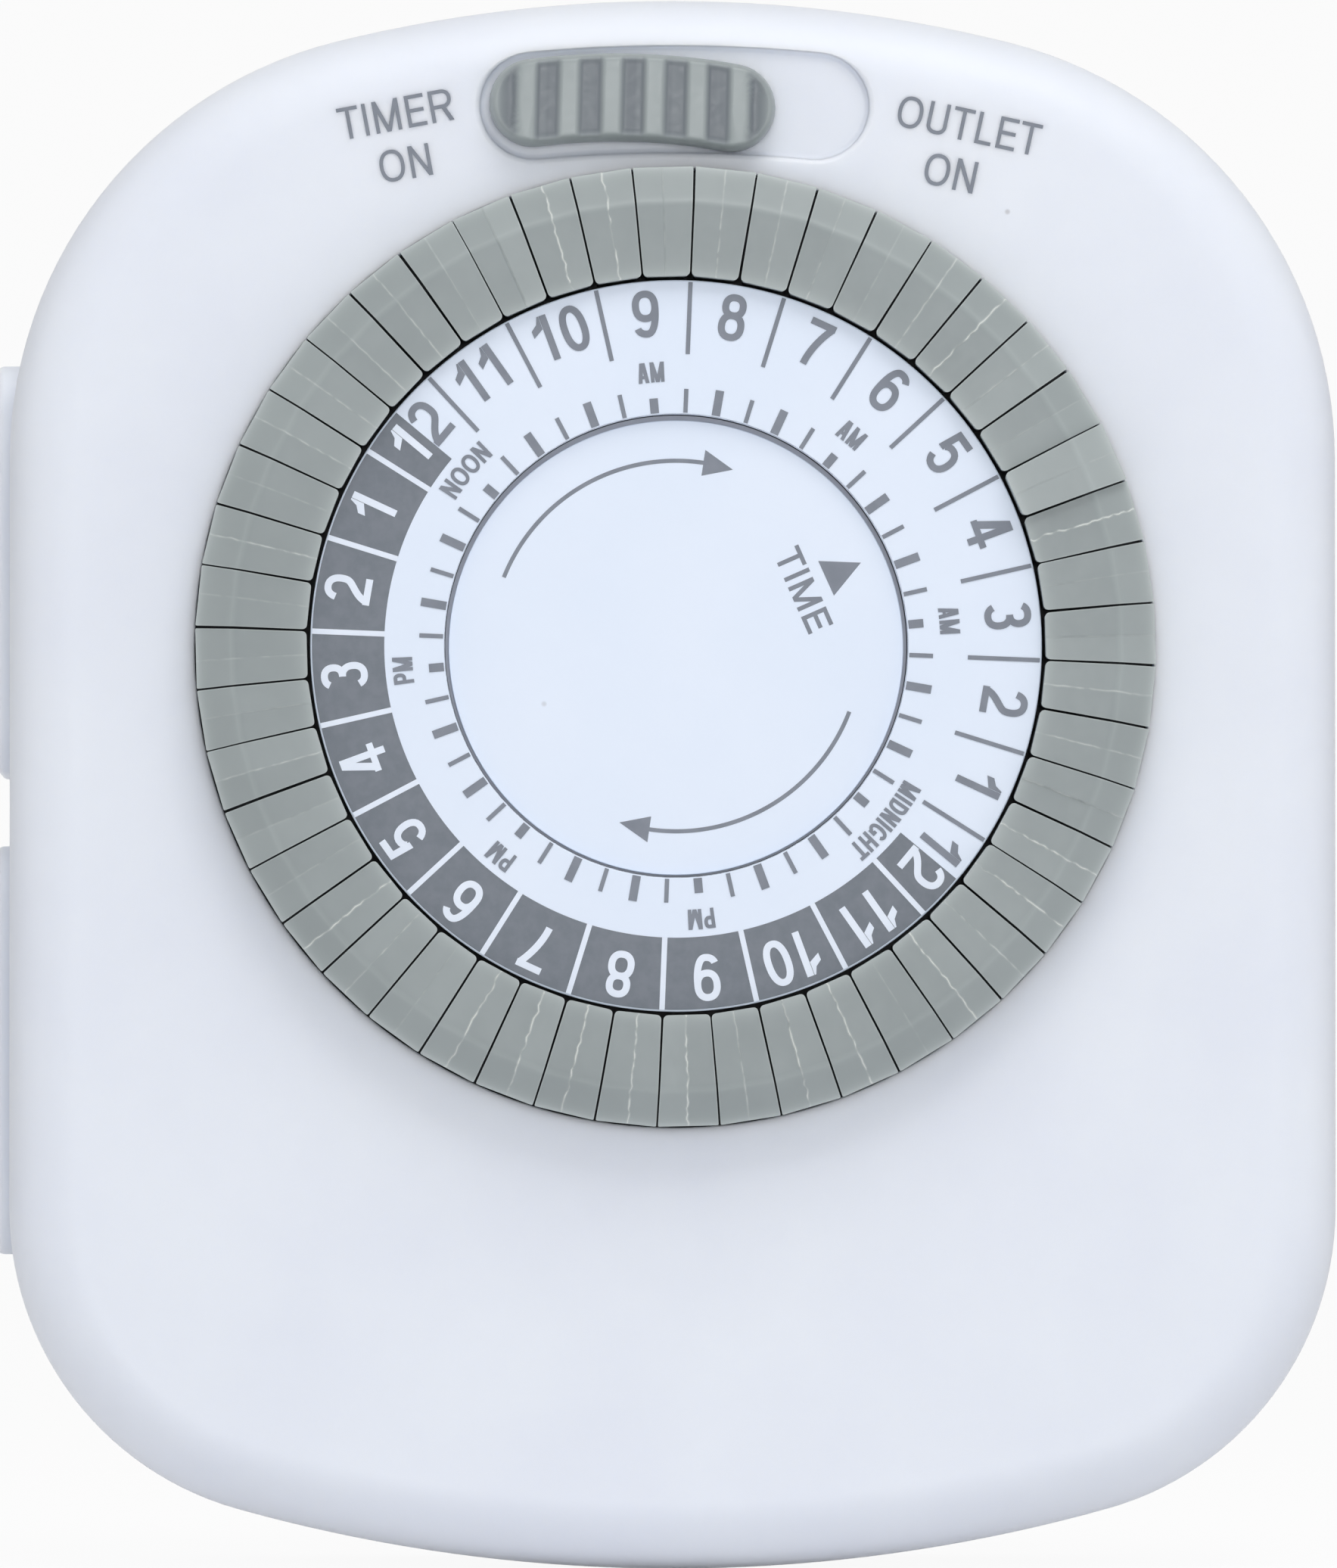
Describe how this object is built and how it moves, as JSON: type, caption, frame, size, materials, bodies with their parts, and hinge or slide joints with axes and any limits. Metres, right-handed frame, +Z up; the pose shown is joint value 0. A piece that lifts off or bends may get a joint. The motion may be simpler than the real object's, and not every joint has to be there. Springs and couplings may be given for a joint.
{
  "type": "plug-in outlet timer",
  "caption": "Plug-in mechanical daily outlet timer: press-in tappets round a turning dial, an override slide, plug blades on the back and outlets on one side.",
  "frame": {"origin": "midway between the two plug blades, on the back face that lies against the wall outlet", "axes": "+X to the right seen from the front, +Y into the wall along the blades, +Z up; the dial faces -Y"},
  "size_m": [0.0749, 0.0552, 0.0875],
  "materials": {
    "housing_white": "satin moulded white, slightly cool",
    "dial_white": "smooth white with a grey printed scale",
    "wheel_grey": "dark grey moulded plastic under the white scale",
    "tappet_grey": "plain grey-green moulded plastic",
    "slide_grey": "plain grey-green moulded plastic",
    "nylon": "natural nylon",
    "motor_steel": "zinc-plated sheet steel",
    "brass": "stamped brass strip",
    "screw_steel": "zinc-plated"
  },
  "bodies": {
    "housing": {"front_cover": "housing_white", "rear_cover": "housing_white", "centre_disc": "dial_white", "timer_motor": "motor_steel", "neutral_strip": "brass", "line_strip": "brass", "load_strip": "brass", "cover_screws": "screw_steel"},
    "dial": {"dial_wheel": "wheel_grey"},
    "override": {"slide_knob": "slide_grey"},
    "lever": {"follower_lever": "nylon"},
    "pinion": {"drive_gear": "nylon"},
    "tappet_01": {"tappet_01": "tappet_grey"},
    "tappet_02": {"tappet_02": "tappet_grey"},
    "tappet_03": {"tappet_03": "tappet_grey"},
    "tappet_04": {"tappet_04": "tappet_grey"},
    "tappet_05": {"tappet_05": "tappet_grey"},
    "tappet_06": {"tappet_06": "tappet_grey"},
    "tappet_07": {"tappet_07": "tappet_grey"},
    "tappet_08": {"tappet_08": "tappet_grey"},
    "tappet_09": {"tappet_09": "tappet_grey"},
    "tappet_10": {"tappet_10": "tappet_grey"},
    "tappet_11": {"tappet_11": "tappet_grey"},
    "tappet_12": {"tappet_12": "tappet_grey"},
    "tappet_13": {"tappet_13": "tappet_grey"},
    "tappet_14": {"tappet_14": "tappet_grey"},
    "tappet_15": {"tappet_15": "tappet_grey"},
    "tappet_16": {"tappet_16": "tappet_grey"},
    "tappet_17": {"tappet_17": "tappet_grey"},
    "tappet_18": {"tappet_18": "tappet_grey"},
    "tappet_19": {"tappet_19": "tappet_grey"},
    "tappet_20": {"tappet_20": "tappet_grey"},
    "tappet_21": {"tappet_21": "tappet_grey"},
    "tappet_22": {"tappet_22": "tappet_grey"},
    "tappet_23": {"tappet_23": "tappet_grey"},
    "tappet_24": {"tappet_24": "tappet_grey"},
    "tappet_25": {"tappet_25": "tappet_grey"},
    "tappet_26": {"tappet_26": "tappet_grey"},
    "tappet_27": {"tappet_27": "tappet_grey"},
    "tappet_28": {"tappet_28": "tappet_grey"},
    "tappet_29": {"tappet_29": "tappet_grey"},
    "tappet_30": {"tappet_30": "tappet_grey"},
    "tappet_31": {"tappet_31": "tappet_grey"},
    "tappet_32": {"tappet_32": "tappet_grey"},
    "tappet_33": {"tappet_33": "tappet_grey"},
    "tappet_34": {"tappet_34": "tappet_grey"},
    "tappet_35": {"tappet_35": "tappet_grey"},
    "tappet_36": {"tappet_36": "tappet_grey"},
    "tappet_37": {"tappet_37": "tappet_grey"},
    "tappet_38": {"tappet_38": "tappet_grey"},
    "tappet_39": {"tappet_39": "tappet_grey"},
    "tappet_40": {"tappet_40": "tappet_grey"},
    "tappet_41": {"tappet_41": "tappet_grey"},
    "tappet_42": {"tappet_42": "tappet_grey"},
    "tappet_43": {"tappet_43": "tappet_grey"},
    "tappet_44": {"tappet_44": "tappet_grey"},
    "tappet_45": {"tappet_45": "tappet_grey"},
    "tappet_46": {"tappet_46": "tappet_grey"},
    "tappet_47": {"tappet_47": "tappet_grey"},
    "tappet_48": {"tappet_48": "tappet_grey"}
  },
  "joints": [
    {"name": "dial_turn", "type": "hinge", "parent": "housing", "child": "dial", "pos_m": [0, -0.03, -0.01], "axis": [0, 1, 0], "continuous": true},
    {"name": "override_slide", "type": "slide", "parent": "housing", "child": "override", "axis": [1, 0, 0], "range_m": [0, 0.0049]},
    {"name": "lever_rock", "type": "hinge", "parent": "housing", "child": "lever", "pos_m": [0.0211, -0.01556, -0.02], "axis": [-1, 0, 0], "range_deg": [0, 8.95]},
    {"name": "pinion_spin", "type": "hinge", "parent": "housing", "child": "pinion", "pos_m": [0, -0.02, -0.0316], "axis": [0, 1, 0], "continuous": true},
    {"name": "tappet_01_press", "type": "slide", "parent": "dial", "child": "tappet_01", "axis": [0, 1, 0], "range_m": [0, 0.003]},
    {"name": "tappet_02_press", "type": "slide", "parent": "dial", "child": "tappet_02", "axis": [0, 1, 0], "range_m": [0, 0.003]},
    {"name": "tappet_03_press", "type": "slide", "parent": "dial", "child": "tappet_03", "axis": [0, 1, 0], "range_m": [0, 0.003]},
    {"name": "tappet_04_press", "type": "slide", "parent": "dial", "child": "tappet_04", "axis": [0, 1, 0], "range_m": [0, 0.003]},
    {"name": "tappet_05_press", "type": "slide", "parent": "dial", "child": "tappet_05", "axis": [0, 1, 0], "range_m": [0, 0.003]},
    {"name": "tappet_06_press", "type": "slide", "parent": "dial", "child": "tappet_06", "axis": [0, 1, 0], "range_m": [0, 0.003]},
    {"name": "tappet_07_press", "type": "slide", "parent": "dial", "child": "tappet_07", "axis": [0, 1, 0], "range_m": [0, 0.003]},
    {"name": "tappet_08_press", "type": "slide", "parent": "dial", "child": "tappet_08", "axis": [0, 1, 0], "range_m": [0, 0.003]},
    {"name": "tappet_09_press", "type": "slide", "parent": "dial", "child": "tappet_09", "axis": [0, 1, 0], "range_m": [0, 0.0035]},
    {"name": "tappet_10_press", "type": "slide", "parent": "dial", "child": "tappet_10", "axis": [0, 1, 0], "range_m": [0, 0.003]},
    {"name": "tappet_11_press", "type": "slide", "parent": "dial", "child": "tappet_11", "axis": [0, 1, 0], "range_m": [0, 0.003]},
    {"name": "tappet_12_press", "type": "slide", "parent": "dial", "child": "tappet_12", "axis": [0, 1, 0], "range_m": [0, 0.003]},
    {"name": "tappet_13_press", "type": "slide", "parent": "dial", "child": "tappet_13", "axis": [0, 1, 0], "range_m": [0, 0.003]},
    {"name": "tappet_14_press", "type": "slide", "parent": "dial", "child": "tappet_14", "axis": [0, 1, 0], "range_m": [0, 0.003]},
    {"name": "tappet_15_press", "type": "slide", "parent": "dial", "child": "tappet_15", "axis": [0, 1, 0], "range_m": [0, 0.003]},
    {"name": "tappet_16_press", "type": "slide", "parent": "dial", "child": "tappet_16", "axis": [0, 1, 0], "range_m": [0, 0.003]},
    {"name": "tappet_17_press", "type": "slide", "parent": "dial", "child": "tappet_17", "axis": [0, 1, 0], "range_m": [0, 0.003]},
    {"name": "tappet_18_press", "type": "slide", "parent": "dial", "child": "tappet_18", "axis": [0, 1, 0], "range_m": [0, 0.003]},
    {"name": "tappet_19_press", "type": "slide", "parent": "dial", "child": "tappet_19", "axis": [0, 1, 0], "range_m": [0, 0.003]},
    {"name": "tappet_20_press", "type": "slide", "parent": "dial", "child": "tappet_20", "axis": [0, 1, 0], "range_m": [0, 0.003]},
    {"name": "tappet_21_press", "type": "slide", "parent": "dial", "child": "tappet_21", "axis": [0, 1, 0], "range_m": [0, 0.003]},
    {"name": "tappet_22_press", "type": "slide", "parent": "dial", "child": "tappet_22", "axis": [0, 1, 0], "range_m": [0, 0.003]},
    {"name": "tappet_23_press", "type": "slide", "parent": "dial", "child": "tappet_23", "axis": [0, 1, 0], "range_m": [0, 0.003]},
    {"name": "tappet_24_press", "type": "slide", "parent": "dial", "child": "tappet_24", "axis": [0, 1, 0], "range_m": [0, 0.003]},
    {"name": "tappet_25_press", "type": "slide", "parent": "dial", "child": "tappet_25", "axis": [0, 1, 0], "range_m": [0, 0.003]},
    {"name": "tappet_26_press", "type": "slide", "parent": "dial", "child": "tappet_26", "axis": [0, 1, 0], "range_m": [0, 0.003]},
    {"name": "tappet_27_press", "type": "slide", "parent": "dial", "child": "tappet_27", "axis": [0, 1, 0], "range_m": [0, 0.003]},
    {"name": "tappet_28_press", "type": "slide", "parent": "dial", "child": "tappet_28", "axis": [0, 1, 0], "range_m": [0, 0.003]},
    {"name": "tappet_29_press", "type": "slide", "parent": "dial", "child": "tappet_29", "axis": [0, 1, 0], "range_m": [0, 0.003]},
    {"name": "tappet_30_press", "type": "slide", "parent": "dial", "child": "tappet_30", "axis": [0, 1, 0], "range_m": [0, 0.003]},
    {"name": "tappet_31_press", "type": "slide", "parent": "dial", "child": "tappet_31", "axis": [0, 1, 0], "range_m": [0, 0.003]},
    {"name": "tappet_32_press", "type": "slide", "parent": "dial", "child": "tappet_32", "axis": [0, 1, 0], "range_m": [0, 0.003]},
    {"name": "tappet_33_press", "type": "slide", "parent": "dial", "child": "tappet_33", "axis": [0, 1, 0], "range_m": [0, 0.003]},
    {"name": "tappet_34_press", "type": "slide", "parent": "dial", "child": "tappet_34", "axis": [0, 1, 0], "range_m": [0, 0.003]},
    {"name": "tappet_35_press", "type": "slide", "parent": "dial", "child": "tappet_35", "axis": [0, 1, 0], "range_m": [0, 0.003]},
    {"name": "tappet_36_press", "type": "slide", "parent": "dial", "child": "tappet_36", "axis": [0, 1, 0], "range_m": [0, 0.003]},
    {"name": "tappet_37_press", "type": "slide", "parent": "dial", "child": "tappet_37", "axis": [0, 1, 0], "range_m": [0, 0.003]},
    {"name": "tappet_38_press", "type": "slide", "parent": "dial", "child": "tappet_38", "axis": [0, 1, 0], "range_m": [0, 0.003]},
    {"name": "tappet_39_press", "type": "slide", "parent": "dial", "child": "tappet_39", "axis": [0, 1, 0], "range_m": [0, 0.003]},
    {"name": "tappet_40_press", "type": "slide", "parent": "dial", "child": "tappet_40", "axis": [0, 1, 0], "range_m": [0, 0.003]},
    {"name": "tappet_41_press", "type": "slide", "parent": "dial", "child": "tappet_41", "axis": [0, 1, 0], "range_m": [0, 0.003]},
    {"name": "tappet_42_press", "type": "slide", "parent": "dial", "child": "tappet_42", "axis": [0, 1, 0], "range_m": [0, 0.003]},
    {"name": "tappet_43_press", "type": "slide", "parent": "dial", "child": "tappet_43", "axis": [0, 1, 0], "range_m": [0, 0.003]},
    {"name": "tappet_44_press", "type": "slide", "parent": "dial", "child": "tappet_44", "axis": [0, 1, 0], "range_m": [0, 0.003]},
    {"name": "tappet_45_press", "type": "slide", "parent": "dial", "child": "tappet_45", "axis": [0, 1, 0], "range_m": [0, 0.003]},
    {"name": "tappet_46_press", "type": "slide", "parent": "dial", "child": "tappet_46", "axis": [0, 1, 0], "range_m": [0, 0.003]},
    {"name": "tappet_47_press", "type": "slide", "parent": "dial", "child": "tappet_47", "axis": [0, 1, 0], "range_m": [0, 0.003]},
    {"name": "tappet_48_press", "type": "slide", "parent": "dial", "child": "tappet_48", "axis": [0, 1, 0], "range_m": [0, 0.003]}
  ],
  "couplings": [
    {"joint": "pinion_spin", "follows": "dial_turn", "ratio": -5},
    {"joint": "lever_rock", "follows": "tappet_09_press", "rad_per_m": 44.371}
  ]
}
